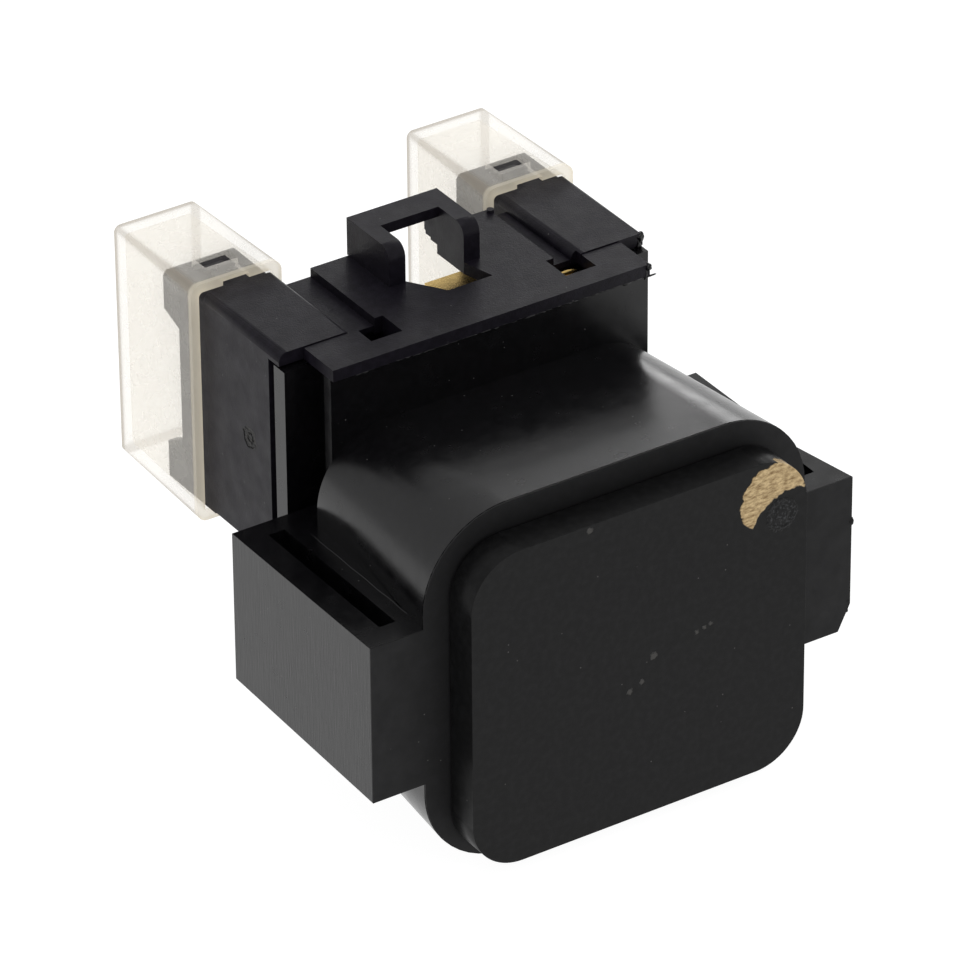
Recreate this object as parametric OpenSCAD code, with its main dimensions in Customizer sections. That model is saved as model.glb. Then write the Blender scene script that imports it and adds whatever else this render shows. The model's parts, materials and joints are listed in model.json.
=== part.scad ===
// Starter relay with two fuse holders: a potted coil housing with slotted ears,
// a terminal block with a latch loop, and two push-on fuse caps.
// Origin: on the coil axis, in the plane of the rear cover's outer face.
// +Y runs along the coil axis towards the terminals, +Z up, +X to the right seen from behind.

/* [Rear cover] */
// Rim of the housing left in view at each side of the cover
rim_side = 2.5; // [2:0.1:3]
// Rim of the housing left in view above and below the cover
rim_top = 2; // [1.5:0.1:2.5]
// How far the cover stands out behind the housing
cover_t = 3.9; // [3:0.1:5]
// Corner radius of the cover
cover_r = 5.3; // [3:0.1:8]
// How far the cover sits below the coil axis
cover_drop = 0.6; // [0:0.1:1]
// Radial gap between the cover's spigot and the housing
spigot_gap = 0.12; // [0.1:0.01:0.3]

/* [Coil housing] */
// Width of the housing at its rear end
housing_w = 41.1; // [40:0.1:50]
// Height of the housing at its rear end
housing_h = 36.9; // [36:0.1:45]
// Corner radius of the housing at its rear end
housing_r = 9; // [6:0.1:12]
// Length of the barrel
barrel_l = 20.4; // [20:0.1:25]
// How much each side of the barrel draws in towards the front
barrel_taper = 1.8; // [0:0.1:2]
// Thinnest wall at each side of the coil cavity
side_wall = 2.25; // [1.8:0.05:2.5]
// Thinnest wall above and below the coil cavity
top_wall = 1.95; // [1.8:0.05:2.5]
// Thickness of the wall between coil and contacts
partition_t = 3.1; // [2.5:0.1:4]

/* [Mounting ears] */
// How far an ear stands out beside the housing
ear_out = 5.55; // [5:0.05:8]
// How far an ear reaches forward past the barrel
ear_past = 2.8; // [1:0.1:3]
// Height of an ear
ear_h = 16.3; // [12:0.1:20]
// Width of the slot through an ear
slot_w = 1.7; // [1.5:0.1:2]
// Plastic left at each end of the slot
slot_end = 2.35; // [1.5:0.05:3]
// Plastic left outside the slot
slot_edge = 2.6; // [2:0.1:3]
// Chamfer on the trimmed ear's lower outer corner
ear_chamfer = 3; // [1:0.1:4]
// How much the trimmed ear's outer face leans inwards
ear_lean = 1.5; // [0:0.1:2]

/* [Terminal block] */
// How far the rear wall reaches past the middle of each holder
wall_over = 1.1; // [0.5:0.1:1.5]
// Length of the housing's front box, from barrel to seam
front_box_l = 5.4; // [5:0.1:7]
// Gap at the seam between housing and terminal block
seam_gap = 0.9; // [0.5:0.1:1.2]
// Length of the terminal block from the seam to its front face
block_l = 9.9; // [9.6:0.1:12]
// Height of the top plate's upper face above the coil axis
plate_z = 23.8; // [23.5:0.1:26]
// Thickness of the top plate
plate_t = 1.2; // [1:0.1:1.5]
// How far the top plate overhangs the rear wall
plate_overhang = 0.5; // [0.2:0.1:1]
// Half width of the raised plate between the holders
plate_half_w = 9.7; // [9.2:0.1:10]
// How far the raised plate sits to the right of the middle
plate_shift = 0.7; // [0:0.1:0.9]
// Depth of the grooves beside the raised plate
groove_d = 0.9; // [0.5:0.1:1.1]
// Depth of the block below the coil axis
block_drop = 15; // [14.5:0.1:16]

/* [Fuse holders and caps] */
// Distance of a holder's centre from the coil axis
holder_x = 16; // [15.9:0.1:17]
// Width of a holder
holder_w = 7.4; // [7.2:0.1:7.6]
// Height of a holder
holder_h = 22.7; // [22.6:0.1:24]
// Length of a holder's neck inside its cap
neck_l = 7.2; // [6:0.1:9]
// Width of the fuse pocket
fuse_w = 5.4; // [5.2:0.1:5.6]
// Height of the fuse pocket
fuse_h = 19.4; // [19.2:0.1:20]
// Length of a cap
cap_l = 14.5; // [14:0.1:20]
// Wall of a cap
cap_wall = 0.85; // [0.7:0.05:0.9]
// Gap between a cap and the neck inside it
cap_gap = 0.2; // [0.15:0.01:0.3]
// How much each side of a cap draws in towards its closed end
cap_taper = 0.4; // [0:0.05:0.5]
// Width of the snap window in a cap
window_w = 3.5; // [3:0.1:4]

/* [Latch loop and connector] */
// Width over the latch loop
loop_w = 9.8; // [9:0.1:12]
// Thickness of the loop's side plates
loop_t = 1.75; // [1.5:0.05:2]
// Height of the loop above the top plate
loop_h = 3.9; // [3.5:0.1:6]
// Length of the loop's side plates
loop_l = 7.2; // [6:0.1:8]
// Width of the connector socket
socket_w = 14.6; // [14:0.1:16]
// Height of the connector socket
socket_h = 10.1; // [9:0.1:11]
// Width of a connector blade
blade_w = 4.3; // [4:0.1:5]

/* [Contacts and terminals] */
// Radius of the terminal studs
stud_r = 3; // [3:0.1:3.5]
// Distance of a stud from the middle
stud_x = 7; // [6.8:0.1:7.2]
// Height of the studs below the coil axis
stud_drop = 7.4; // [7.4:0.1:8]
// Length of a stud in front of the block
stud_out = 12.5; // [11:0.1:16]
// Width of a nut across its flats
nut_af = 10; // [9:0.1:11]
// Height of a nut
nut_h = 5; // [4:0.1:5]
// Travel of the plunger and the contact bridge
travel = 1.8; // [1:0.1:2]
// Radius of the plunger
plunger_r = 4.62; // [4:0.01:5]
// Radius of the push rod
rod_r = 1.5; // [1.2:0.1:1.6]
// Radial running clearance of the plunger and the rod
run_gap = 0.06; // [0.04:0.01:0.09]

/* [Hidden] */
$fn = 48;
eps = 0.02;

// sizes across, from the housing's own
cover_w = housing_w - 2 * rim_side;
cover_h = housing_h - 2 * rim_top;
cavity_w = housing_w - 2 * (barrel_taper + side_wall);
cavity_h = housing_h - 2 * (barrel_taper + top_wall);
wall_half_w = holder_x + wall_over;

// stations along the coil axis
rear_y = cover_t;
wall_y = rear_y + barrel_l;
seam_y = wall_y + front_box_l;
block_y = seam_y + seam_gap;
front_y = block_y + block_l;
wall_skin = 1.1;
chamber_y = wall_y + wall_skin;
cavity_end_y = chamber_y - partition_t;

// coil stack, from the cover inwards
spigot_l = 2;
gasket_t = 1;
yoke_t = 2;
stack_y = rear_y + spigot_l + gasket_t;
yoke_w = cavity_w - 3.6;
yoke_h = cavity_h - 7.4;
yoke_plate_y = cavity_end_y - 0.3 - yoke_t;
bobbin_y = stack_y + yoke_t + 0.1;
bobbin_l = yoke_plate_y - 0.1 - bobbin_y;
flange_t = 1;
bobbin_r = plunger_r + run_gap + 1.1;
flange_r = min(yoke_w / 2 - yoke_t, yoke_h / 2) - 0.3;
core_l = bobbin_l * 0.46;
core_y = yoke_plate_y + yoke_t - core_l - yoke_t;
plunger_end_y = core_y - travel - 0.2;
plunger_y = stack_y + 0.2;

// contact chamber
pad_t = 1.5;
pad_half_w = 3.4;
pad_top = 4;
pad_low = stud_drop + 3.9;
bridge_t = 1.2;
bridge_y = block_y - 1;
pad_y = bridge_y + bridge_t + travel + 0.05;
chamber_end_y = pad_y + pad_t;
chamber_half_w = stud_x + pad_half_w + 0.3;
chamber_top = pad_top + 1.2;
chamber_low = pad_low + 0.3;
spring_pocket_y = chamber_end_y + 1.8;
guide_flange_t = 0.8;
clip_t = 0.5;
clip_r = 2.1;
spring_r = 2.75;
spring_y = chamber_y + guide_flange_t + 0.1 + clip_t;
rod_end_y = bridge_y + bridge_t + clip_t + 0.6;

// fuse holders
holder_top = plate_z + 0.1;
holder_cz = holder_top - holder_h / 2;
shoulder_y = front_y + 1.3;
neck_y = shoulder_y + neck_l;
neck_in = 0.1;
neck_drop = 0.3;
neck_w = holder_w - 2 * neck_in;
neck_h = holder_h - 0.1;
neck_cz = holder_cz - neck_drop;
relief_d = 2.6;
cap_rear_y = shoulder_y + 0.2;
cap_grip = cap_gap + cap_taper * (neck_y - cap_rear_y) / cap_l;
cap_in_w = neck_w + 2 * cap_grip;
cap_in_h = neck_h + 2 * cap_grip;
cap_w = cap_in_w + 2 * cap_wall;
cap_h = cap_in_h + 2 * cap_wall;
window_l = 2.4;
window_y = cap_rear_y + 2.5;
pocket_y = block_y + 8;
clip_slot_y = block_y + 1;
clip_slot_w = 3;
clip_w = 5.2;
clip_pitch = 11.9;

// connector socket
socket_top = plate_z - plate_t;
socket_cz = socket_top - socket_h / 2;
socket_y = block_y + 2.5;
socket_step_z = socket_cz;
loop_back_y = front_y - loop_l + 0.2;
hole_back_y = loop_back_y - 3.4;
blade_t = 0.8;
blade_x = socket_w / 2 - blade_w / 2 - 1.2;
blade_z = [socket_cz + 1.9, socket_cz - 3.3];

// studs and their hardware
washer_t = 1.2;
washer_r = stud_r + 2.6;
rib_half_w = stud_x - washer_r - 0.2;
spring_washer_t = 1.5;
nut_y = front_y + washer_t + spring_washer_t;
stud_end_y = nut_y + nut_h + 0.3;
tip_r = stud_r - 0.25;

module rounded_rect(w, h, r) {
    square([w - 2 * r, h], center = true);
    square([w, h - 2 * r], center = true);
    for (sx = [-1, 1])
        for (sz = [-1, 1])
            translate([sx * (w / 2 - r), sz * (h / 2 - r)])
                circle(r);
}

// extrudes an XZ outline along +Y from y0
module along_y(y0, l) {
    translate([0, y0 + l, 0])
        rotate([90, 0, 0])
            linear_extrude(l)
                children();
}

// extrudes a YZ outline along +X from x0
module along_x(x0, l) {
    translate([x0, 0, 0])
        rotate([90, 0, 90])
            linear_extrude(l)
                children();
}

// box given by its low and high corners
module block(low, high) {
    translate(low)
        cube(high - low);
}

// round bar along +Y
module bar(x, y0, z, r, l) {
    translate([x, y0 + l, z])
        rotate([90, 0, 0])
            cylinder(r = r, h = l);
}

module mirrored() {
    children();
    mirror([1, 0, 0])
        children();
}

// rear cover -------------------------------------------------------------

module rear_cover() {
    groove_t = 0.4;
    groove_in = 0.7;
    color([0.11, 0.11, 0.115])
        union() {
            translate([0, 0, -cover_drop]) {
                along_y(0, cover_t - groove_t)
                    rounded_rect(cover_w, cover_h, cover_r);
                along_y(cover_t - groove_t, groove_t)
                    rounded_rect(cover_w - 2 * groove_in, cover_h - 2 * groove_in, cover_r - groove_in);
            }
            along_y(cover_t - groove_t, groove_t + spigot_l)
                rounded_rect(cavity_w - 2 * spigot_gap - 2, cavity_h - 2 * spigot_gap - 2, 3);
            along_y(cover_t, spigot_l)
                rounded_rect(cavity_w - 2 * spigot_gap, cavity_h - 2 * spigot_gap, 4 - spigot_gap);
        }
}

module cover_gasket() {
    lip = 2;
    color([0.18, 0.17, 0.16])
        along_y(rear_y + spigot_l, gasket_t)
            difference() {
                rounded_rect(cavity_w - 0.4, cavity_h - 0.4, 3.8);
                rounded_rect(cavity_w - 0.4 - 2 * lip, cavity_h - 0.4 - 2 * lip, 3);
            }
}

// coil housing -----------------------------------------------------------

module barrel_slice(y, inset) {
    along_y(y, eps)
        rounded_rect(housing_w - 2 * inset, housing_h - 2 * inset, housing_r - inset);
}

module ear(lean, chamfer) {
    draft = 0.75;
    half_h = ear_h / 2;
    out_x = housing_w / 2 + ear_out;
    ear_l = barrel_l + ear_past;
    slot_l = ear_l - 2 * slot_end;
    in_x = housing_w / 2 - barrel_taper - 2;
    difference() {
        along_x(in_x, out_x - in_x)
            polygon([[rear_y, -half_h], [rear_y + ear_l, -half_h + draft],
                [rear_y + ear_l, half_h], [rear_y, half_h]]);
        translate([out_x - slot_edge - slot_w, rear_y + slot_end + 0.3, -ear_h])
            cube([slot_w, slot_l, 2 * ear_h]);
        if (lean > 0)
            translate([0, 0, -ear_h])
                linear_extrude(2 * ear_h)
                    polygon([[out_x, rear_y - 1], [out_x + 1, rear_y - 1],
                        [out_x + 1, rear_y + ear_l + 1], [out_x - lean, rear_y + ear_l + 1],
                        [out_x - lean, rear_y + 6.6 * lean / 1.3]]);
        if (chamfer > 0)
            along_y(rear_y - 1, ear_l + 2)
                polygon([[out_x + 1, -half_h - 1], [out_x + 1, -half_h + chamfer],
                    [out_x, -half_h + chamfer], [out_x - chamfer * 0.5, -half_h],
                    [out_x - chamfer * 0.5, -half_h - 1]]);
    }
}

module front_box() {
    neck_x = wall_half_w - 1.6;
    lip_t = 1.8;
    block([-wall_half_w, wall_y - eps, -block_drop], [wall_half_w, wall_y + wall_skin, socket_top]);
    block([-neck_x, wall_y, -block_drop], [neck_x, seam_y, socket_top]);
    mirrored() {
        block([neck_x - 1, seam_y - lip_t, holder_cz - holder_h / 2],
            [holder_x + holder_w / 2, seam_y, socket_top - 0.2]);
    }
    block([-holder_x, seam_y - lip_t, -block_drop], [holder_x, seam_y, holder_cz]);
}

module coil_housing() {
    well_half_w = plate_half_w + 4.4;
    well_floor = socket_top - 5.5;
    color([0.1, 0.1, 0.105])
        difference() {
            union() {
                hull() {
                    barrel_slice(rear_y, 0);
                    barrel_slice(wall_y - eps, barrel_taper);
                }
                ear(ear_lean, ear_chamfer);
                mirror([1, 0, 0])
                    ear(0, 0);
                front_box();
            }
            along_y(rear_y - 1, cavity_end_y - rear_y + 1)
                rounded_rect(cavity_w, cavity_h, 4);
            block([-chamber_half_w, chamber_y, -chamber_low], [chamber_half_w, seam_y + 1, chamber_top]);
            block([-well_half_w, chamber_y, well_floor], [well_half_w, seam_y + 1, socket_top + 1]);
            bar(0, cavity_end_y - 1, 0, rod_r + 1.4, partition_t + 2);
            coil_lead_holes();
        }
}

// each coil lead runs over the yoke plate, through the partition and up to a connector blade
lead_z = yoke_h / 2 + 1.6;
lead_r = 0.6;
lead_start_y = yoke_plate_y - flange_t - 1.6;
lead_end_y = chamber_y + 2;

module coil_lead_holes() {
    slack = 0.2;
    for (sx = [-1, 1]) {
        bar(sx * blade_x, cavity_end_y - 1, lead_z, lead_r + slack, lead_end_y - cavity_end_y + 1);
        translate([sx * blade_x, lead_end_y, lead_z - lead_r - slack])
            cylinder(r = lead_r + slack, h = socket_top - lead_z);
    }
}

// coil and magnetic circuit ----------------------------------------------

module coil_yoke() {
    arm_y = stack_y + yoke_t;
    color([0.62, 0.63, 0.64])
        difference() {
            union() {
                block([-yoke_w / 2, stack_y, -yoke_h / 2], [yoke_w / 2, arm_y, yoke_h / 2]);
                mirrored()
                    block([yoke_w / 2 - yoke_t, arm_y - eps, -yoke_h / 2], [yoke_w / 2, yoke_plate_y, yoke_h / 2]);
            }
            bar(0, stack_y - 1, 0, plunger_r + 0.3, yoke_t + 2);
        }
}

module yoke_plate() {
    color([0.62, 0.63, 0.64])
        difference() {
            block([-yoke_w / 2, yoke_plate_y, -yoke_h / 2], [yoke_w / 2, yoke_plate_y + yoke_t, yoke_h / 2]);
            bar(0, yoke_plate_y - 1, 0, plunger_r + 0.02, yoke_t + 2);
        }
}

module coil_bobbin() {
    color([0.86, 0.84, 0.76])
        difference() {
            union() {
                bar(0, bobbin_y, 0, bobbin_r, bobbin_l);
                bar(0, bobbin_y, 0, flange_r, flange_t);
                bar(0, bobbin_y + bobbin_l - flange_t, 0, flange_r, flange_t);
            }
            bar(0, bobbin_y - 1, 0, plunger_r + run_gap, bobbin_l + 2);
        }
}

module coil_winding() {
    slack = 0.05;
    color([0.72, 0.36, 0.16])
        difference() {
            bar(0, bobbin_y + flange_t + slack, 0, flange_r - 0.6, bobbin_l - 2 * flange_t - 2 * slack);
            bar(0, bobbin_y, 0, bobbin_r + slack, bobbin_l);
        }
}

module fixed_core() {
    color([0.66, 0.67, 0.68])
        difference() {
            bar(0, core_y, 0, plunger_r, core_l + yoke_t);
            bar(0, core_y - 1, 0, rod_r + 0.25, core_l + yoke_t + 2);
        }
}

module rod_guide() {
    color([0.9, 0.88, 0.8])
        difference() {
            union() {
                bar(0, cavity_end_y + 0.3, 0, rod_r + 1.38, partition_t - 0.3 + eps);
                bar(0, chamber_y, 0, rod_r + 2.6, guide_flange_t);
            }
            bar(0, cavity_end_y, 0, rod_r + run_gap, partition_t + 2);
        }
}

// terminal block ---------------------------------------------------------

// outline of a holder, seen along the coil axis, with soft upper edges
module holder_outline(w, h) {
    soft = [0.9, 0.4];
    difference() {
        square([w, h], center = true);
        for (i = [0, 1])
            translate([(2 * i - 1) * (w / 2 - soft[i]), h / 2 - soft[i]])
                difference() {
                    translate([i == 0 ? -soft[i] - 1 : 0, 0])
                        square(soft[i] + 1);
                    circle(soft[i]);
                }
    }
}

// outline of the neck seen from the side: its walls are cut back in the middle for fingers
module neck_profile() {
    low = neck_cz - neck_h / 2;
    top = neck_cz + neck_h / 2;
    polygon([[shoulder_y - 1, low], [neck_y, low], [neck_y, low + 3.8], [neck_y - relief_d, low + 5.1],
        [neck_y - relief_d, top - 5.6], [neck_y, top - 4.6], [neck_y, top - 1.2], [neck_y - 0.4, top - 0.4],
        [neck_y - 1.2, top], [shoulder_y - 1, top]]);
}

module snap_lug() {
    lug_h = cap_grip + cap_wall / 2 - 0.12;
    top = neck_cz + neck_h / 2;
    along_x(-window_w / 2 + 0.5, window_w - 1)
        polygon([[window_y + 0.15, top - 0.5], [window_y + 2.1, top - 0.5],
            [window_y + 2.1, top], [window_y + 0.15, top + lug_h]]);
}

module fuse_holder() {
    intersection() {
        along_x(-holder_w, 2 * holder_w)
            neck_profile();
        translate([0, 0, neck_cz])
            along_y(shoulder_y - 1, neck_l + 2)
                holder_outline(neck_w, neck_h);
    }
    translate([0, 0, holder_cz])
        along_y(block_y, shoulder_y - block_y)
            holder_outline(holder_w, holder_h);
    snap_lug();
    intersection() {
        translate([0, 0, holder_cz])
            along_y(seam_y - 0.9, 2)
                holder_outline(holder_w, holder_h);
        block([-holder_w, seam_y - 2, socket_top], [holder_w, block_y + 1, holder_top + 1]);
    }
}

module fuse_pocket() {
    block([-fuse_w / 2, pocket_y, holder_cz - fuse_h / 2], [fuse_w / 2, neck_y + 1, holder_cz + fuse_h / 2]);
    for (sz = [-1, 1])
        block([-clip_slot_w / 2, clip_slot_y, holder_cz + sz * clip_pitch / 2 - clip_w / 2 - 0.15],
            [clip_slot_w / 2, pocket_y + 1, holder_cz + sz * clip_pitch / 2 + clip_w / 2 + 0.15]);
}

module top_plate() {
    step_y = seam_y - 0.9;
    rear = wall_y - plate_overhang;
    floor_z = plate_z - groove_d;
    block([-wall_half_w, rear, socket_top], [wall_half_w, step_y - 0.1, plate_z]);
    block([plate_shift - plate_half_w, step_y - 1, socket_top - 0.5],
        [plate_shift + plate_half_w, front_y, plate_z]);
    block([-holder_x, step_y + 1, floor_z - 0.6], [holder_x, front_y, floor_z]);
}

module plate_holes() {
    hole_w = 3.3;
    back_y = seam_y - 3.4;
    for (sx = [-1, 1])
        translate([plate_shift + sx * (plate_half_w + 0.8), back_y, socket_top - 3])
            translate([-hole_w / 2, 0, 0])
                cube([hole_w, hole_w, plate_t + 4]);
}

// opening under the loop, with one keying corner
module latch_opening() {
    gap = loop_w / 2 - loop_t;
    translate([0, 0, socket_top - 1])
        linear_extrude(plate_t + 2)
            polygon([[gap, front_y + 1], [gap, loop_back_y], [gap + 0.9, hole_back_y],
                [-gap + 2.4, hole_back_y], [-gap, loop_back_y + 0.2], [-gap, front_y + 1]]);
    block([-gap - 0.9, front_y - 2.3, socket_top - 1], [gap + 0.9, front_y + 1, plate_z - 0.35]);
    block([-gap - 0.35, front_y - 2.5, socket_top - 1], [gap + 0.35, front_y + 1, plate_z + loop_h - 1.2]);
}

module loop_side() {
    round_r = 1.3;
    top = plate_z + loop_h;
    front = front_y + 0.2;
    along_x(loop_w / 2 - loop_t, loop_t)
        difference() {
            union() {
                translate([loop_back_y, plate_z - 0.6])
                    square([loop_l - 0.2, 0.7]);
                translate([loop_back_y, plate_z])
                    square([loop_l, loop_h - round_r]);
                translate([loop_back_y + round_r, plate_z])
                    square([loop_l - round_r, loop_h]);
                translate([loop_back_y + round_r, top - round_r])
                    circle(round_r);
            }
            translate([front, plate_z - 1])
                square([1, loop_h + 2]);
        }
}

module latch_loop() {
    bar_l = 3;
    bar_t = 1.05;
    front = front_y + 0.2;
    top = plate_z + loop_h;
    mirrored()
        loop_side();
    block([-loop_w / 2 + eps, front - bar_l, top - bar_t], [loop_w / 2 - eps, front, top]);
}

module block_body() {
    half_w = holder_x - holder_w / 2 + 0.5;
    block([-socket_w / 2 - 0.8, hole_back_y - 1.2, socket_step_z - 0.2],
        [socket_w / 2 + 0.8, block_y + 1, socket_top + 0.2]);
    block([-half_w, block_y, -block_drop], [half_w, front_y, socket_top + 0.2]);
    block([-holder_x + 1, block_y, -block_drop], [holder_x - 1, front_y, holder_cz - holder_h / 2 + 2]);
    block([-rib_half_w, front_y - 1, -block_drop], [rib_half_w, front_y + 5.5, 3]);
}

module terminal_block() {
    color([0.12, 0.12, 0.125])
        difference() {
            union() {
                block_body();
                top_plate();
                latch_loop();
                for (sx = [-1, 1])
                    translate([sx * holder_x, 0, 0])
                        fuse_holder();
                translate([plate_shift + plate_half_w - 0.1, front_y - 0.5, plate_z - groove_d - 0.3])
                    cylinder(r = 0.35, h = groove_d + 0.6);
            }
            for (sx = [-1, 1])
                translate([sx * holder_x, 0, 0])
                    fuse_pocket();
            block([-socket_w / 2, socket_y, socket_top - socket_h], [socket_w / 2, front_y + 1, socket_top]);
            block([-socket_w / 2, hole_back_y, socket_step_z], [socket_w / 2, front_y + 1, socket_top]);
            latch_opening();
            plate_holes();
            block([-chamber_half_w, block_y - 1, -chamber_low], [chamber_half_w, chamber_end_y, chamber_top]);
            bar(0, chamber_end_y - 1, 0, spring_r + 0.7, spring_pocket_y - chamber_end_y + 1);
            for (sx = [-1, 1])
                bar(sx * stud_x, chamber_end_y - 1, -stud_drop, stud_r + 0.02, front_y - chamber_end_y + 2);
            pin_slots();
        }
}

module pin_slots() {
    fit = 0.05;
    for (sx = [-1, 1])
        for (z = blade_z)
            block([sx * blade_x - blade_w / 2 - fit, hole_back_y - 2, z - blade_t / 2 - fit],
                [sx * blade_x + blade_w / 2 + fit, socket_y + 1, z + blade_t / 2 + fit]);
}

module seam_seal() {
    inset = 0.7;
    low = holder_cz - holder_h / 2;
    lip = chamber_half_w + 0.5;
    color([0.05, 0.05, 0.05])
        along_y(seam_y, seam_gap)
            difference() {
                union() {
                    translate([-holder_x + inset, -block_drop + inset])
                        square([2 * (holder_x - inset), block_drop + socket_top - 2 * inset - 0.5]);
                    translate([-holder_x - holder_w / 2 + inset, low + inset])
                        square([2 * holder_x + holder_w - 2 * inset, socket_top - low - 2 * inset - 0.6]);
                }
                translate([-lip, -chamber_low - 0.5])
                    square([2 * lip, chamber_low + chamber_top + 1]);
                translate([-lip - 1, socket_top - 6])
                    square([2 * lip + 2, 7]);
            }
}

// metal in the terminal block --------------------------------------------

module connector_pins() {
    back_y = chamber_y + 1;
    color([0.83, 0.66, 0.3])
        for (sx = [-1, 1])
            for (z = blade_z)
                block([sx * blade_x - blade_w / 2, z < socket_cz ? block_y + 0.1 : back_y, z - blade_t / 2],
                    [sx * blade_x + blade_w / 2, front_y - 2.4, z + blade_t / 2]);
}

// a clip's two leaves meet near the fuse and spread at its base
module clip_outline() {
    t = 0.5;
    half = clip_slot_w / 2 - 0.15;
    back = clip_slot_y + 0.2;
    front = pocket_y - 0.4;
    mirrored()
        polygon([[half, back], [half, front - 3], [t + 0.15, front - 1.4], [half - 0.1, front],
            [half - 0.1 - t, front], [0.15, front - 1.4], [half - t, front - 3.2], [half - t, back + t],
            [-eps, back + t], [-eps, back]]);
}

module fuse_clips(x) {
    color([0.83, 0.66, 0.3])
        for (sz = [-1, 1])
            translate([x, 0, holder_cz + sz * clip_pitch / 2 - clip_w / 2])
                linear_extrude(clip_w)
                    clip_outline();
}

// strap from the contacts to the fuse clips, its edge in view in the right-hand hole
module fuse_link() {
    t = 0.8;
    w = 2.4;
    x = plate_shift + plate_half_w - 0.6;
    y0 = chamber_y + 0.4;
    z = socket_top - 1.6;
    color([0.83, 0.66, 0.3]) {
        block([x, y0, z], [x + w, seam_y - 0.2, z + t]);
        block([x, y0, z - 3], [x + w, y0 + t, z + eps]);
    }
}

module coil_leads() {
    low_z = sqrt(pow(flange_r - 0.6, 2) - pow(blade_x + lead_r, 2)) + 0.6;
    top_z = blade_z[0] - blade_t / 2;
    color([0.72, 0.36, 0.16])
        for (sx = [-1, 1])
            translate([sx * blade_x, 0, 0]) {
                bar(0, lead_start_y, lead_z, lead_r, lead_end_y - lead_start_y);
                translate([0, lead_start_y, low_z])
                    cylinder(r = lead_r, h = lead_z - low_z);
                translate([0, lead_end_y, lead_z])
                    cylinder(r = lead_r, h = top_z - lead_z);
                for (y = [lead_start_y, lead_end_y])
                    translate([0, y, lead_z])
                        sphere(lead_r);
            }
}

module stud(x) {
    color([0.72, 0.5, 0.3])
        union() {
            block([x - pad_half_w, pad_y, -pad_low], [x + pad_half_w, pad_y + pad_t, pad_top]);
            bar(x, pad_y + pad_t - eps, -stud_drop, stud_r, stud_end_y - pad_y - pad_t + eps);
            bar(x, stud_end_y - eps, -stud_drop, tip_r, front_y + stud_out - stud_end_y - 0.6 + eps);
            translate([x, front_y + stud_out, -stud_drop])
                rotate([90, 0, 0])
                    cylinder(r1 = tip_r - 0.6, r2 = tip_r, h = 0.6);
        }
}

module plain_washers() {
    color([0.75, 0.76, 0.78])
        for (sx = [-1, 1])
            difference() {
                bar(sx * stud_x, front_y, -stud_drop, washer_r, washer_t);
                bar(sx * stud_x, front_y - 1, -stud_drop, stud_r + 0.2, washer_t + 2);
            }
}

module spring_washers() {
    color([0.7, 0.71, 0.73])
        for (sx = [-1, 1])
            difference() {
                bar(sx * stud_x, front_y + washer_t, -stud_drop, stud_r + 2, spring_washer_t);
                bar(sx * stud_x, front_y, -stud_drop, stud_r + 0.15, washer_t + spring_washer_t + 2);
                block([sx * stud_x - 0.3, front_y, stud_r - stud_drop - 0.5],
                    [sx * stud_x + 0.3, nut_y + 1, stud_r - stud_drop + 3]);
            }
}

module terminal_nuts() {
    color([0.75, 0.76, 0.78])
        for (sx = [-1, 1])
            difference() {
                translate([sx * stud_x, nut_y + nut_h, -stud_drop])
                    rotate([90, 30, 0])
                        cylinder(r = nut_af / 2 / cos(30), h = nut_h, $fn = 6);
                bar(sx * stud_x, nut_y - 1, -stud_drop, stud_r + 0.02, nut_h + 2);
            }
}

// moving armature --------------------------------------------------------

module plunger() {
    bore_l = 3;
    color([0.7, 0.71, 0.72])
        difference() {
            bar(0, plunger_y, 0, plunger_r, plunger_end_y - plunger_y);
            bar(0, plunger_end_y - bore_l, 0, rod_r, bore_l + 1);
        }
}

module push_rod() {
    color([0.78, 0.79, 0.8])
        bar(0, plunger_end_y - 3, 0, rod_r, rod_end_y - plunger_end_y + 3);
}

module rod_clips() {
    color([0.6, 0.61, 0.62])
        for (y = [spring_y - clip_t, bridge_y + bridge_t])
            difference() {
                bar(0, y, 0, clip_r, clip_t);
                bar(0, y - 1, 0, rod_r, clip_t + 2);
                block([-rod_r * 0.8, y - 1, -clip_r - 1], [rod_r * 0.8, y + clip_t + 1, -rod_r + 0.1]);
            }
}

module contact_bridge() {
    half_h = pad_top - 0.4;
    color([0.75, 0.43, 0.22])
        difference() {
            along_y(bridge_y, bridge_t)
                rounded_rect(2 * (stud_x + pad_half_w - 0.5), 2 * half_h, 1.5);
            bar(0, bridge_y - 1, 0, rod_r + 0.03, bridge_t + 2);
        }
}

// coil spring along +Y: a round wire swept along a helix
function helix_point(a, r, y0, rise, turns) = [r * cos(a), y0 + rise * a / (360 * turns), r * sin(a)];

module coil_spring(y0, l, r, wire_r, turns) {
    steps = turns * 12;
    sides = 6;
    rise = l - 2 * wire_r;
    rings = [for (i = [0 : steps]) let (a = 360 * turns * i / steps,
        c = helix_point(a, r, y0 + wire_r, rise, turns), out = [cos(a), 0, sin(a)])
        [for (k = [0 : sides - 1]) c + wire_r * (cos(360 * k / sides) * out + sin(360 * k / sides) * [0, 1, 0])]];
    points = [for (ring = rings) each ring];
    walls = [for (i = [0 : steps - 1]) for (k = [0 : sides - 1])
        let (a = i * sides + k, b = i * sides + (k + 1) % sides)
        each [[a, a + sides, b], [b, a + sides, b + sides]]];
    first = [for (k = [0 : sides - 1]) k];
    last = [for (k = [sides - 1 : -1 : 0]) steps * sides + k];
    polyhedron(points = points, faces = concat([first], walls, [last]), convexity = 6);
}

module contact_spring() {
    color([0.55, 0.56, 0.58])
        coil_spring(spring_y + 0.02, bridge_y - spring_y - 0.04, clip_r - 0.2, 0.18, 2);
}

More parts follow.
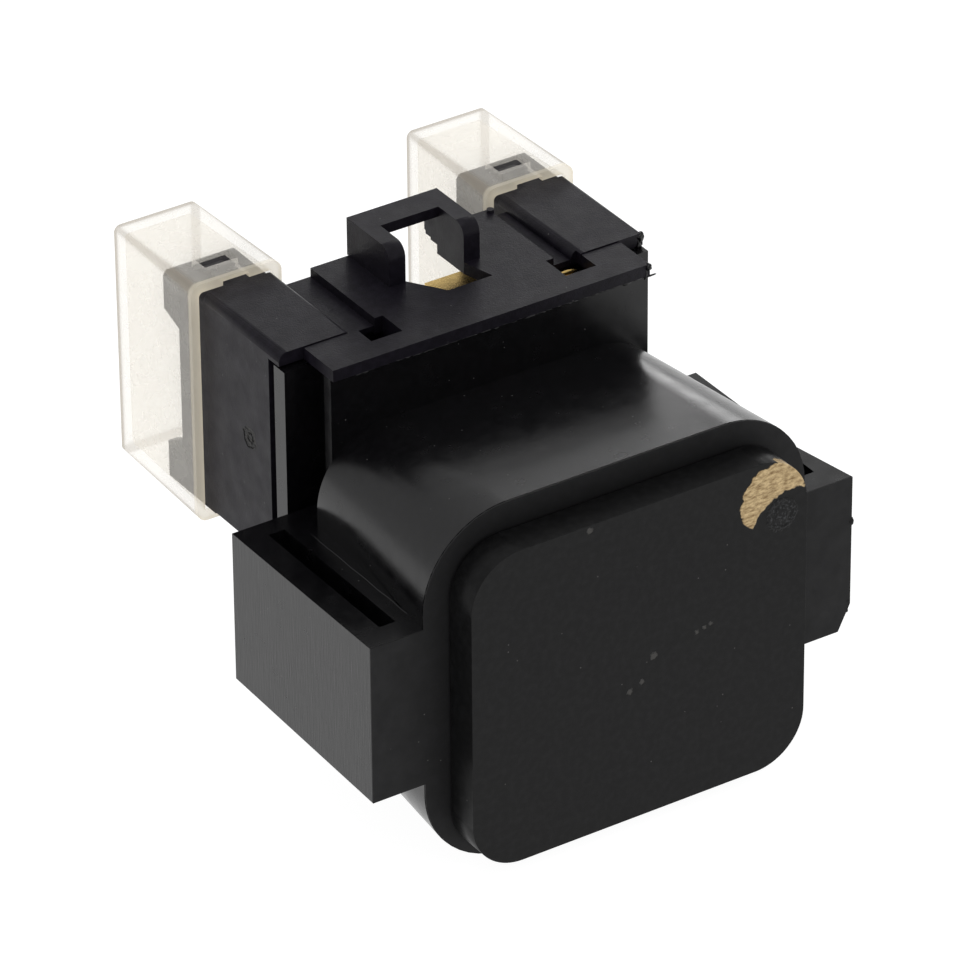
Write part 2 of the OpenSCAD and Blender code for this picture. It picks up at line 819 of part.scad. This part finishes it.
module return_spring() {
    color([0.55, 0.56, 0.58])
        coil_spring(bridge_y + bridge_t + 0.02, spring_pocket_y - bridge_y - bridge_t - 0.04, spring_r, 0.3, 3);
}

// fuse caps --------------------------------------------------------------

module cap_slice(y, w, h, r) {
    along_y(y, eps)
        rounded_rect(w, h, r);
}

module fuse_cap(x) {
    front = cap_rear_y + cap_l;
    soft_r = 1.1;
    color([0.94, 0.92, 0.85, 0.6])
        translate([x, 0, neck_cz])
            difference() {
                hull() {
                    cap_slice(cap_rear_y, cap_w, cap_h, soft_r);
                    cap_slice(front - 0.3, cap_w - 2 * cap_taper, cap_h - 2 * cap_taper, soft_r - cap_taper);
                    cap_slice(front - eps, cap_w - 2 * cap_taper - 0.6, cap_h - 2 * cap_taper - 0.6, 0.7);
                }
                hull() {
                    cap_slice(cap_rear_y - eps, cap_in_w, cap_in_h, 0.5);
                    cap_slice(front - cap_wall, cap_in_w - 2 * cap_taper, cap_in_h - 2 * cap_taper, 0.4);
                }
                block([-window_w / 2, window_y, cap_h / 2 - 2], [window_w / 2, window_y + window_l, cap_h / 2 + 1]);
                block([-window_w / 2 + 0.35, cap_rear_y - 1, cap_in_h / 2 - 1],
                    [window_w / 2 - 0.35, window_y + 1, cap_in_h / 2 + cap_wall / 2]);
            }
}

rear_cover();
cover_gasket();
coil_housing();
coil_yoke();
yoke_plate();
coil_bobbin();
coil_winding();
fixed_core();
rod_guide();
seam_seal();
terminal_block();
connector_pins();
fuse_clips(-holder_x);  // left_fuse_clips
fuse_clips(holder_x);  // right_fuse_clips
fuse_link();
coil_leads();
stud(-stud_x);  // left_stud
stud(stud_x);  // right_stud
plain_washers();
spring_washers();
terminal_nuts();
plunger();
push_rod();
rod_clips();
contact_spring();
contact_bridge();
return_spring();
fuse_cap(-holder_x);  // left_fuse_cap
fuse_cap(holder_x);  // right_fuse_cap
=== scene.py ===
"""Looks for the starter relay: moulded black housing, milky fuse caps, brass and plated metal."""

import json
import math
import random

import bmesh
import bpy
from mathutils import Matrix, Vector, noise


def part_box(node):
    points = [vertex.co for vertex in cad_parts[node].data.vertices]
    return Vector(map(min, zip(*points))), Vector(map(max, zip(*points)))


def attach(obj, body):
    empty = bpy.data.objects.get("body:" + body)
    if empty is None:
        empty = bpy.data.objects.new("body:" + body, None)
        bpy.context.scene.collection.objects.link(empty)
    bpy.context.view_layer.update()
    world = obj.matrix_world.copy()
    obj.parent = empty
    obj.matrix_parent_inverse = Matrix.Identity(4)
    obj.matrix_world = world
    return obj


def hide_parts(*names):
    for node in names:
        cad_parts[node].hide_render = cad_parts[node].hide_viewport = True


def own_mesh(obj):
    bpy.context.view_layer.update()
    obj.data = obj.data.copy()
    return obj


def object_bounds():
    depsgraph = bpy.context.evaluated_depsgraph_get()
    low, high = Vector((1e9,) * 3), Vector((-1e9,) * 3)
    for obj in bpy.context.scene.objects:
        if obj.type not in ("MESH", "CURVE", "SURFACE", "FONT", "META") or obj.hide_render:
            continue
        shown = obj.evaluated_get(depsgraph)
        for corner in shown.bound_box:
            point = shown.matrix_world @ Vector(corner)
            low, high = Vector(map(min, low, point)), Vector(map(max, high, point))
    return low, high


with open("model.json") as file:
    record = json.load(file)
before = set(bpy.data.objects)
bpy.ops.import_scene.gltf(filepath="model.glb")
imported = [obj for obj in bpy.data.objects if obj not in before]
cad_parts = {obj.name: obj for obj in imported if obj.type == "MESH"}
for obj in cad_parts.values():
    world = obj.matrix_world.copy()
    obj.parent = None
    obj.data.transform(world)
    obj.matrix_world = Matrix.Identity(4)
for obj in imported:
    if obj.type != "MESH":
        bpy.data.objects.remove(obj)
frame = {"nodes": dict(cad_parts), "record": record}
cad_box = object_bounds()
nodes = frame["nodes"]
scene = bpy.context.scene
MM = 0.001


def box_mm(node):
    """The low and high corners of a node's box in millimetres."""
    return [[v / MM for v in corner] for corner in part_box(node)]


# camera, floor and light ----------------------------------------------------
# in metres, degrees and watts, where MM doesn't say otherwise

def add_camera():
    """A long lens from behind, left and above, as in the photograph."""
    azimuth, elevation, roll = (math.radians(v) for v in (-33.02, 31.615, -0.464))
    target = Vector((-3.539, 19.963, 9.172)) * MM
    distance = 692.755 * MM
    back = Vector((math.sin(azimuth) * math.cos(elevation),
                   -math.cos(azimuth) * math.cos(elevation),
                   math.sin(elevation)))
    right = Vector((math.cos(azimuth), math.sin(azimuth), 0))
    up = back.cross(right)
    rolled_right = math.cos(roll) * right + math.sin(roll) * up
    rolled_up = math.cos(roll) * up - math.sin(roll) * right
    data = bpy.data.cameras.new("camera")
    data.lens = 283.76
    data.sensor_width = 36
    data.clip_start = 0.01
    data.clip_end = 20
    camera = bpy.data.objects.new("camera", data)
    turn = Matrix((rolled_right, rolled_up, back)).transposed().to_4x4()
    camera.matrix_world = Matrix.Translation(target + distance * back) @ turn
    scene.collection.objects.link(camera)
    scene.camera = camera


def add_world():
    """An even white studio, with no tone curve."""
    world = bpy.data.worlds.new("studio")
    world.use_nodes = True
    background = world.node_tree.nodes["Background"]
    background.inputs["Color"].default_value = (1, 1, 1, 1)
    background.inputs["Strength"].default_value = 0.7
    scene.world = world
    scene.view_settings.view_transform = "Standard"


def add_floor():
    """A pale floor at the relay's lowest point, lit enough to read as white paper."""
    low = cad_box[0][2]
    half_width = 6
    corners = [(x * half_width, y * half_width, low)
               for x, y in ((-1, -1), (1, -1), (1, 1), (-1, 1))]
    mesh = bpy.data.meshes.new("floor")
    mesh.from_pydata(corners, [], [(0, 1, 2, 3)])
    floor = bpy.data.objects.new("floor", mesh)
    scene.collection.objects.link(floor)
    material = bpy.data.materials.new("pale_floor")
    material.use_nodes = True
    shader = material.node_tree.nodes["Principled BSDF"]
    shader.inputs["Base Color"].default_value = (0.2, 0.2, 0.2, 1)
    shader.inputs["Roughness"].default_value = 0.9
    shader.inputs["Specular IOR Level"].default_value = 0.0
    shader.inputs["Emission Color"].default_value = (1, 1, 1, 1)
    shader.inputs["Emission Strength"].default_value = 0.95
    mesh.materials.append(material)


def add_softbox(name, toward, distance, width, height, power):
    """A soft panel aimed at the middle of the object, seen from it in the direction given."""
    middle = (Vector(cad_box[0]) + Vector(cad_box[1])) / 2
    data = bpy.data.lights.new(name, "AREA")
    data.shape = "RECTANGLE"
    data.size = width
    data.size_y = height
    data.energy = power
    light = bpy.data.objects.new(name, data)
    direction = Vector(toward).normalized()
    light.location = middle + distance * direction
    light.rotation_euler = (-direction).to_track_quat("-Z", "Y").to_euler()
    scene.collection.objects.link(light)


def add_lights():
    add_softbox("back_panel", (0.67, 0.7, 0.24), 1.0, 0.5, 0.2, 1.15)
    add_softbox("top_panel", (-0.2, -0.1, 1), 1.1, 0.5, 0.5, 2.2)


# materials ------------------------------------------------------------------

MIX_A, MIX_B, MIX_RESULT = 6, 7, 2  # the colour sockets of a Mix node


class Shader:
    """Short hand for building one node material. Lengths are in millimetres."""

    def __init__(self, name):
        self.name = name
        self.material = bpy.data.materials.new(name)
        self.material.use_nodes = True
        self.tree = self.material.node_tree
        self.surface = self.tree.nodes["Principled BSDF"]
        self.output = self.tree.nodes["Material Output"]
        self.place = self.node("ShaderNodeTexCoord").outputs["Object"]

    def node(self, kind, **settings):
        made = self.tree.nodes.new(kind)
        for key, value in settings.items():
            setattr(made, key, value)
        return made

    def link(self, source, target):
        self.tree.links.new(source, target)

    def put(self, **values):
        """Sets inputs of the surface, written with _ for each space in their names."""
        for key, value in values.items():
            self.surface.inputs[key.replace("_", " ")].default_value = value

    def stretched(self, scale):
        """Object coordinates in millimetres, scaled along each axis."""
        mapping = self.node("ShaderNodeMapping")
        mapping.inputs["Scale"].default_value = [s / MM for s in scale]
        self.link(self.place, mapping.inputs["Vector"])
        return mapping.outputs["Vector"]

    def axes(self):
        """The x, y and z of the surface."""
        split = self.node("ShaderNodeSeparateXYZ")
        self.link(self.stretched((1, 1, 1)), split.inputs["Vector"])
        return split.outputs

    def noise(self, scale, detail=3, roughness=0.5):
        """Noise whose features are about 1/scale across."""
        texture = self.node("ShaderNodeTexNoise")
        texture.inputs["Scale"].default_value = 1
        texture.inputs["Detail"].default_value = detail
        texture.inputs["Roughness"].default_value = roughness
        scale = scale if isinstance(scale, (tuple, list)) else (scale, scale, scale)
        self.link(self.stretched(scale), texture.inputs["Vector"])
        return texture.outputs["Fac"]

    def span(self, source, low, high, from_low=0, from_high=1):
        """Maps a factor from one range to another, held at both ends."""
        mapped = self.node("ShaderNodeMapRange")
        mapped.inputs["From Min"].default_value = from_low
        mapped.inputs["From Max"].default_value = from_high
        mapped.inputs["To Min"].default_value = low
        mapped.inputs["To Max"].default_value = high
        self.link(source, mapped.inputs["Value"])
        return mapped.outputs["Result"]

    def math(self, operation, a, b=0.0):
        made = self.node("ShaderNodeMath", operation=operation)
        for socket, value in zip(made.inputs, (a, b)):
            if isinstance(value, (int, float)):
                socket.default_value = value
            else:
                self.link(value, socket)
        return made.outputs[0]

    def blend(self, factor, a, b):
        """Colour from a to b."""
        made = self.node("ShaderNodeMix", data_type="RGBA")
        self.link(factor, made.inputs["Factor"])
        for index, value in ((MIX_A, a), (MIX_B, b)):
            if isinstance(value, (tuple, list)):
                made.inputs[index].default_value = (*value, 1)
            else:
                self.link(value, made.inputs[index])
        return made.outputs[MIX_RESULT]

    def mix_shaders(self, first, second):
        """A mix of two shaders, with its factor still to be set."""
        made = self.node("ShaderNodeMixShader")
        for index, shader in ((1, first), (2, second)):
            self.link(shader, made.inputs[index])
        return made

    def distance(self, point, ragged=0.0, scale=1.0):
        """Distance from a point, made uneven by a noise."""
        made = self.node("ShaderNodeVectorMath", operation="DISTANCE")
        self.link(self.stretched((1, 1, 1)), made.inputs[0])
        made.inputs[1].default_value = point
        if not ragged:
            return made.outputs["Value"]
        wobble = self.span(self.noise(scale, 3), -ragged, ragged, 0.25, 0.75)
        return self.math("ADD", made.outputs["Value"], wobble)

    def spot(self, point, radius, soft, ragged=0.0, scale=1.0):
        """One inside the radius, falling to nothing over a soft edge."""
        return self.span(self.distance(point, ragged, scale), 1, 0, radius, radius + soft)

    def ring(self, point, radius, half_width, ragged=0.0):
        """One along a circle, falling to nothing at half a width to either side."""
        away = self.math("SUBTRACT", self.distance(point, ragged, 2), radius)
        return self.span(self.math("ABSOLUTE", away), 1, 0, half_width * 0.4, half_width)

    def roughen(self, extra):
        """Adds to the roughness that is already linked."""
        roughness = self.surface.inputs["Roughness"]
        self.link(self.math("ADD", roughness.links[0].from_socket, extra), roughness)

    def bump(self, heights, distance):
        """Bumps the surface by a sum of (height, strength) pairs."""
        total = None
        for height, strength in heights:
            part = self.math("MULTIPLY", height, strength)
            total = part if total is None else self.math("ADD", total, part)
        made = self.node("ShaderNodeBump")
        made.inputs["Strength"].default_value = 1
        made.inputs["Distance"].default_value = distance * MM
        self.link(total, made.inputs["Height"])
        self.link(made.outputs["Normal"], self.surface.inputs["Normal"])


def dust_mask(s):
    """Small pale specks, thrown unevenly over the surface."""
    per_mm, core, edge, patchiness, strength = 0.75, 0.035, 0.06, 0.53, 0.4
    specks = s.node("ShaderNodeTexVoronoi", feature="F1")
    specks.inputs["Scale"].default_value = 1
    s.link(s.stretched((per_mm, per_mm, per_mm)), specks.inputs["Vector"])
    near = s.span(specks.outputs["Distance"], 1, 0, core, edge)
    kept = s.math("GREATER_THAN", s.noise(0.4, 1), patchiness)
    return s.math("MULTIPLY", s.math("MULTIPLY", near, kept), strength)


def black_plastic(name, tint, gloss, grain, specular, marks):
    """Moulded black plastic.

    gloss is (least, most) roughness, grain is the bump in millimetres, and marks adds what is
    found on this one part: it takes the colour and returns it with a list for Shader.bump.
    """
    s = Shader(name)
    fine = s.noise(7, 2)
    s.link(s.span(s.noise(0.5, 4), *gloss, 0.3, 0.7), s.surface.inputs["Roughness"])
    pale = [c * 1.6 + 0.001 for c in tint]
    dust = (0.2, 0.195, 0.19)
    colour = s.blend(s.span(s.noise(1.4, 4), 0, 1, 0.42, 0.72), tint, pale)
    colour = s.blend(dust_mask(s), colour, dust)
    s.put(Specular_IOR_Level=specular)
    colour, heights = marks(s, colour)
    s.link(colour, s.surface.inputs["Base Color"])
    s.bump([(fine, 1)] + heights, grain)
    return s


def housing_marks(s, colour):
    """Fine tool lines down the outer face of the broad ear, and duller rear faces."""
    x, y, _ = s.axes()
    low, _ = box_mm("coil_housing")
    outer = s.math("LESS_THAN", x, low[0] + 0.6)
    rear = s.math("LESS_THAN", y, low[1] + 0.15)
    lines = s.noise((0.3, 5, 0.35), 3, 0.6)
    s.roughen(s.math("MULTIPLY", rear, 0.5))
    return colour, [(s.math("MULTIPLY", outer, lines), 5)]


def block_marks(s, colour):
    """A dark ring left by an ejector pin on the left holder."""
    centre = (-19.7, 34.2, 12.45)
    darkened = (0.001, 0.001, 0.001)
    scuff = s.spot(centre, 0.9, 0.5, 0.35, 2)
    groove = s.ring(centre, 0.75, 0.35, 0.2)
    dimple = s.spot(centre, 0.2, 0.2, 0.15, 3)
    return s.blend(scuff, colour, darkened), [(groove, -35), (dimple, -30)]


# on the cover's outer face, as ((x, y, z), radius) in millimetres
COVER_CHIPS = [((1.42, 0, -0.34), 0.28), ((-1.18, 0, -3.25), 0.2), ((0.12, 0, -2.66), 0.18),
               ((-5.51, 0, 15.28), 0.22)]
COVER_SCRATCH = [((6.1, 0, 0.54), 0.12), ((6.9, 0, 0.72), 0.12), ((7.6, 0, 0.9), 0.1)]
GATE = (15.28, 0, 9.85)


def cover_chips(s, colour):
    """Small pale pits, and three in a row for a scratch."""
    pale = (0.05, 0.048, 0.045)
    heights = []
    for point, radius in COVER_CHIPS + COVER_SCRATCH:
        chip = s.spot(point, radius, 0.15, 0.12, 4)
        colour = s.blend(chip, colour, pale)
        heights.append((chip, -10))
    return colour, heights


def gate_mark(s, colour):
    """The round scar and grey speckle where the plastic came in."""
    grey = (0.06, 0.062, 0.065)
    inside = s.spot(GATE, 1.5, 0.3, 0.3, 2)
    speckle = s.math("MULTIPLY", inside, s.span(s.noise(4, 3), 0, 1, 0.52, 0.66))
    return s.blend(s.math("MULTIPLY", speckle, 0.6), colour, grey)


def fibre_patch(s, colour):
    """A tan, stringy stain: a round patch with a round bite out of it."""
    patch = s.spot((14.3, 0, 11.9), 3.45, 0.12, 0.3, 1.0)
    bitten = s.spot((16.32, 0, 7.62), 4.5, 0.12, 0.22, 1.2)
    fibre = s.math("MULTIPLY", patch, s.math("SUBTRACT", 1, bitten))
    strands = s.noise((1.3, 1, 3.2), 5, 0.7)
    brown, tan = (0.22, 0.14, 0.06), (0.64, 0.48, 0.26)
    stain = s.blend(s.span(strands, 0, 1, 0.36, 0.62), brown, tan)
    return s.blend(fibre, colour, stain), [(s.math("MULTIPLY", fibre, strands), 14)]


def cover_marks(s, colour):
    """Moulding and handling marks on the cover: a gate mark, a scratch, chips and a stain."""
    scar = [(s.ring(GATE, 1.45, 0.3, 0.25), 8), (s.spot(GATE, 0.5, 0.4, 0.3, 2), 8)]
    colour, chips = cover_chips(s, colour)
    colour = gate_mark(s, colour)
    colour, strings = fibre_patch(s, colour)
    return colour, scar + chips + strings


def cap_masks(s, low, high):
    """Two factors for the pair of caps: the long and closed-end edges, and the open rim.

    low and high are the box of the right-hand cap. The left-hand one mirrors it in x.
    """
    x, y, z = s.axes()
    middle_x, middle_z = (low[0] + high[0]) / 2, (low[2] + high[2]) / 2
    off_x = s.math("ABSOLUTE", s.math("SUBTRACT", s.math("ABSOLUTE", x), middle_x))
    off_z = s.math("ABSOLUTE", s.math("SUBTRACT", z, middle_z))
    # how deep each point lies under the side, end and top walls; the second least of the
    # three is small only where two walls meet
    side = s.math("SUBTRACT", (high[0] - low[0]) / 2, off_x)
    end = s.math("SUBTRACT", high[1], y)
    top = s.math("SUBTRACT", (high[2] - low[2]) / 2, off_z)
    least, most = s.math("MINIMUM", side, end), s.math("MAXIMUM", side, end)
    second = s.math("MAXIMUM", least, s.math("MINIMUM", most, top))
    edge = s.span(second, 1, 0, 0.7, 1.25)
    rim = s.span(y, 1, 0, low[1] + 0.45, low[1] + 0.75)
    return edge, rim


def cap_plastic():
    """Milky translucent plastic: clear in its faces, dense at its edges and bright at its rim,
    with a painted glow all over.
    """
    s = Shader("cap_plastic")
    edge, rim = cap_masks(s, *box_mm("right_fuse_cap"))
    tint = s.blend(edge, (0.94, 0.925, 0.88), (0.36, 0.32, 0.26))
    s.link(s.blend(rim, tint, (0.92, 0.85, 0.7)), s.surface.inputs["Base Color"])
    # the emission is a painted glow, standing in for light scattered inside the milky plastic
    s.put(Roughness=0.4, Specular_IOR_Level=0.3,
          Emission_Color=(1, 0.93, 0.82, 1), Emission_Strength=0.22)
    s.bump([(s.noise(0.5, 2), 1)], 0.012)

    clear = s.node("ShaderNodeBsdfTransparent")
    clear.inputs["Color"].default_value = (0.995, 0.99, 0.98, 1)
    through = s.node("ShaderNodeBsdfTranslucent")
    glow = s.blend(edge, (0.95, 0.93, 0.88), (0.42, 0.37, 0.3))
    s.link(s.blend(rim, glow, (0.95, 0.86, 0.66)), through.inputs["Color"])

    milk = s.mix_shaders(s.surface.outputs["BSDF"], through.outputs["BSDF"])
    milk.inputs["Fac"].default_value = 0.45
    haze = s.mix_shaders(clear.outputs["BSDF"], milk.outputs["Shader"])
    body = s.span(s.noise(0.4, 2), 0.22, 0.28, 0.3, 0.7)
    dense = s.math("MAXIMUM", s.math("MULTIPLY", edge, 0.5), s.math("MULTIPLY", rim, 0.5))
    s.link(s.math("MAXIMUM", body, dense), haze.inputs["Fac"])
    s.link(haze.outputs["Shader"], s.output.inputs["Surface"])
    return s


def metal(name, colour, gloss, brushed=(3, 3, 3)):
    """Tarnished metal: gloss is (least, most) roughness and brushed is its grain along x, y, z."""
    s = Shader(name)
    s.put(Metallic=1)
    tarnished = [c * 0.6 for c in colour]
    s.link(s.blend(s.noise(0.9, 4), colour, tarnished), s.surface.inputs["Base Color"])
    s.link(s.span(s.noise(brushed, 3), *gloss, 0.3, 0.7), s.surface.inputs["Roughness"])
    s.bump([(s.noise(brushed, 2), 1)], 0.004)
    return s


def enamelled_wire():
    """Copper wire under enamel: fine rings round the coil axis."""
    s = Shader("enamelled_wire")
    rings = s.node("ShaderNodeTexWave", wave_type="BANDS", bands_direction="Y")
    rings.inputs["Scale"].default_value = 1
    rings.inputs["Distortion"].default_value = 0.6
    s.link(s.stretched((0.6, 0.6, 0.6)), rings.inputs["Vector"])
    dark, bright = (0.18, 0.05, 0.015), (0.62, 0.25, 0.09)
    s.link(s.blend(rings.outputs["Fac"], dark, bright), s.surface.inputs["Base Color"])
    s.put(Roughness=0.25, Metallic=0.4)
    s.bump([(rings.outputs["Fac"], 1)], 0.05)
    return s


def soft_matte(name, colour, gloss):
    """Rubber, or nylon with no shine: gloss is (least, most) roughness."""
    s = Shader(name)
    darker = [c * 0.8 for c in colour]
    s.link(s.blend(s.noise(1.1, 3), colour, darker), s.surface.inputs["Base Color"])
    s.link(s.span(s.noise(2, 2), *gloss, 0.3, 0.7), s.surface.inputs["Roughness"])
    s.bump([(s.noise(8, 2), 1)], 0.01)
    return s


def make_materials():
    """Every material, by name."""
    made = [
        black_plastic("housing_plastic", (0.002, 0.0019, 0.0024), gloss=(0.19, 0.28),
                      grain=0.004, specular=0.36, marks=housing_marks),
        black_plastic("block_plastic", (0.0056, 0.0046, 0.0078), gloss=(0.38, 0.5),
                      grain=0.022, specular=0.15, marks=block_marks),
        black_plastic("cover_plastic", (0.004, 0.004, 0.0042), gloss=(0.38, 0.46),
                      grain=0.006, specular=0.13, marks=cover_marks),
        cap_plastic(),
        soft_matte("seal_rubber", (0.002, 0.002, 0.002), (0.4, 0.6)),
        metal("coil_iron", (0.56, 0.57, 0.58), (0.25, 0.45)),
        metal("zinc_steel", (0.7, 0.72, 0.76), (0.18, 0.35)),
        metal("spring_steel", (0.5, 0.5, 0.52), (0.2, 0.35)),
        metal("contact_brass", (0.8, 0.56, 0.2), (0.2, 0.36), (2, 12, 12)),
        metal("copper", (0.72, 0.4, 0.24), (0.2, 0.38)),
        enamelled_wire(),
        soft_matte("bobbin_plastic", (0.72, 0.69, 0.58), (0.35, 0.5)),
    ]
    return {shader.name: shader.material for shader in made}


def dress_nodes(materials):
    """Gives each CAD node the material of its slot. The block has a plastic of its own."""
    for part in frame["record"]["subparts"]:
        name = part["node"]
        slot = "block_plastic" if name == "terminal_block" else part["material_slot"]
        obj = nodes[name]
        obj.data.materials.clear()
        obj.data.materials.append(materials[slot])


# how far each part's sharp edges are rounded, in millimetres
EDGE_ROUNDING = {"coil_housing": 0.2, "terminal_block": 0.18, "rear_cover": 0.25,
                 "terminal_nuts": 0.15, "plain_washers": 0.1, "fuse_link": 0.08}


def soften(obj, width):
    """Welds a CAD mesh and rounds its sharp edges by a width in millimetres."""
    weld = obj.modifiers.new("weld", "WELD")
    weld.merge_threshold = 0.00001
    bevel = obj.modifiers.new("bevel", "BEVEL")
    bevel.width = width * MM
    bevel.segments = 2
    bevel.limit_method = "ANGLE"
    bevel.angle_limit = math.radians(35)
    bevel.use_clamp_overlap = True
    bevel.harden_normals = True


# pieces made here -----------------------------------------------------------
# all in millimetres, as piece() turns them into metres

def piece(name, mesh, material):
    """Puts a finished mesh, in millimetres, on the relay's body."""
    for vertex in mesh.verts:
        vertex.co *= MM
    data = bpy.data.meshes.new(name)
    mesh.to_mesh(data)
    mesh.free()
    data.polygons.foreach_set("use_smooth", [True] * len(data.polygons))
    data.materials.append(material)
    obj = bpy.data.objects.new(name, data)
    scene.collection.objects.link(obj)
    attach(obj, "relay")
    return obj


def add_lump(mesh, centre, size, seed, roughness=0.35):
    """Adds one torn lump: a ball stretched to the size given and pushed about by a noise."""
    made = bmesh.ops.create_icosphere(mesh, subdivisions=3, radius=1)
    offset = Vector((seed * 3.7, seed * 1.3, seed * 2.1))
    for vertex in made["verts"]:
        coarse = roughness * noise.noise(vertex.co * 1.7 + offset)
        fine = 0.12 * noise.noise(vertex.co * 5 + offset)
        push = 1 + coarse + fine
        vertex.co = Vector(centre) + push * Vector(a * b for a, b in zip(vertex.co, size))


# torn edges, as (centre, half sizes)
BURRS = [
    # the right holder's rear corner
    ((19.5, 28.95, 23.4), (0.42, 0.3, 0.55)),
    ((19.3, 28.9, 22.5), (0.3, 0.28, 0.7)),
    # the raised plate's corner
    ((16.95, 23.95, 23.5), (0.35, 0.4, 0.35)),
    ((16.7, 24.0, 22.9), (0.22, 0.25, 0.6)),
    # the trimmed ear
    ((25.9, 4.3, 3.3), (0.4, 0.5, 0.5)),
    ((25.75, 4.3, -5.2), (0.35, 0.45, 0.3)),
    ((25.6, 4.3, -6.1), (0.3, 0.4, 0.4)),
]


def add_burrs(material):
    """Torn edges at the right holder's rear corner, the plate's corner and the trimmed ear."""
    mesh = bmesh.new()
    for seed, (centre, size) in enumerate(BURRS, start=1):
        add_lump(mesh, centre, size, seed)
    piece("moulding_burrs", mesh, material)


def add_flash(material):
    """Thin beads of flash squeezed out under the plate's rear edge."""
    left, right, edge_y, edge_z = -16.8, 16.6, 23.92, 22.6
    rng = random.Random(7)
    mesh = bmesh.new()
    x = left
    seed = 20
    while x < right:
        length = rng.uniform(0.5, 1.7)
        size = (length / 2, rng.uniform(0.1, 0.2), rng.uniform(0.08, 0.17))
        centre = (x + length / 2, edge_y, edge_z - rng.uniform(0.0, 0.12))
        add_lump(mesh, centre, size, seed)
        x += length * rng.uniform(0.9, 1.5)
        seed += 1
    piece("plate_flash", mesh, material)


def join_rings(mesh, rings, capped=True):
    """Joins each ring of points to the next, and closes the first and the last."""
    for one, two in zip(rings, rings[1:]):
        for k in range(len(one)):
            after = (k + 1) % len(one)
            mesh.faces.new((one[k], one[after], two[after], two[k]))
    if capped:
        mesh.faces.new(rings[0][::-1])
        mesh.faces.new(rings[-1])


def round_angles(count):
    """Equal steps once round, in radians."""
    return [2 * math.pi * k / count for k in range(count)]


def ribbon(mesh, points, half_width, height):
    """A low bead along a line of points, pointed at its ends."""
    up = Vector((0, 0, 1))
    last = len(points) - 1
    rings = []
    for i, point in enumerate(points):
        along = Vector(points[min(i + 1, last)]) - Vector(points[max(i - 1, 0)])
        side = along.normalized().cross(up)
        thin = math.sin(math.pi * (i + 0.3) / (last + 0.6)) ** 0.5
        rings.append([
            mesh.verts.new(Vector(point) + thin * (half_width * math.cos(a) * side
                                                   + height * math.sin(a) * up))
            for a in round_angles(6)])
    join_rings(mesh, rings)


def add_edge_lines(material):
    """The fine raised witness lines along the ears, where the mould halves met."""
    from_middle, start_y, step, ear_top, count = 20.25, 4.4, 0.63, 8.15, 31
    mesh = bmesh.new()
    for x in (-from_middle, from_middle):
        points = [(x + 0.03 * math.sin(i * 0.9), start_y + i * step, ear_top + 0.01 * math.sin(i))
                  for i in range(count)]
        ribbon(mesh, points, 0.1, 0.09)
    piece("parting_lines", mesh, material)


# the CAD barrel, which tapers from the rim to the wall
BARREL_START, BARREL_LENGTH, BARREL_TAPER = 3.9, 20.4, 1.8
BARREL_HALF_WIDTH, BARREL_HALF_HEIGHT, BARREL_CORNER = 20.55, 18.45, 9


def barrel_outline(inset):
    """Points round the barrel, drawn in by an inset all round, with many steps at each corner."""
    radius, steps = BARREL_CORNER - inset, 20
    points = []
    for quarter, (sx, sz) in enumerate(((1, 1), (-1, 1), (-1, -1), (1, -1))):
        centre = (sx * (BARREL_HALF_WIDTH - inset - radius),
                  sz * (BARREL_HALF_HEIGHT - inset - radius))
        for k in range(steps + 1):
            turn = math.radians(90 * (quarter + k / steps))
            points.append((centre[0] + radius * math.cos(turn),
                           centre[1] + radius * math.sin(turn)))
    return points


def add_barrel_skin(material):
    """The barrel's moulded surface, in one smooth drafted sweep from the rim to the wall."""
    first_y, last_y, spans, lift = 4.12, 24.28, 8, 0.03
    mesh = bmesh.new()
    rows = []
    for step in range(spans + 1):
        y = first_y + step * (last_y - first_y) / spans
        inset = BARREL_TAPER * (y - BARREL_START) / BARREL_LENGTH - lift
        rows.append([mesh.verts.new((x, y, z)) for x, z in barrel_outline(inset)])
    join_rings(mesh, rows, capped=False)
    bmesh.ops.recalc_face_normals(mesh, faces=mesh.faces)
    piece("barrel_skin", mesh, material)


def add_link_tip(material):
    """The bent end of the brass strap, just under the right-hand hole."""
    mesh = bmesh.new()
    add_lump(mesh, (11.2, 28.75, 22.35), (1.15, 0.2, 0.3), seed=60, roughness=0.12)
    piece("strap_tip", mesh, material)


def helix(mesh, start, end, radius, wire, turns):
    """A round wire wound round the coil axis from start to end, with its end turns drawn close.

    wire is the wire's own radius, and radius is that of its centre line.
    """
    steps, sides, closing = turns * 28, 10, 0.045
    along = Vector((0, 1, 0))
    rings = []
    for i in range(steps + 1):
        share = i / steps
        angle = 2 * math.pi * turns * i / steps
        out = Vector((math.cos(angle), 0, math.sin(angle)))
        eased = share - closing * math.sin(2 * math.pi * share)
        y = start + wire + (end - start - 2 * wire) * eased
        centre = radius * out + Vector((0, y, 0))
        rings.append([mesh.verts.new(centre + wire * (math.cos(a) * out + math.sin(a) * along))
                      for a in round_angles(sides)])
    join_rings(mesh, rings)
    bmesh.ops.recalc_face_normals(mesh, faces=mesh.faces)


def add_return_spring(material):
    """The return spring, which in the relay shortens as the contact bridge comes towards it; here
    it is wound at rest in place of the CAD spring.
    """
    low, high = box_mm("return_spring")
    mesh = bmesh.new()
    helix(mesh, low[1], high[1], radius=2.75, wire=0.26, turns=3)
    spring = piece("return_spring_coil", mesh, material)
    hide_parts("return_spring")
    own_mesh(spring)


def add_pieces(materials):
    """Every piece made here, all on the relay's body."""
    housing = materials["housing_plastic"]
    add_return_spring(materials["spring_steel"])
    add_barrel_skin(housing)
    add_link_tip(materials["contact_brass"])
    for add in (add_burrs, add_flash, add_edge_lines):
        add(housing)


add_camera()
add_world()
add_floor()
add_lights()
materials = make_materials()
dress_nodes(materials)
for name, width in EDGE_ROUNDING.items():
    soften(nodes[name], width)
add_pieces(materials)
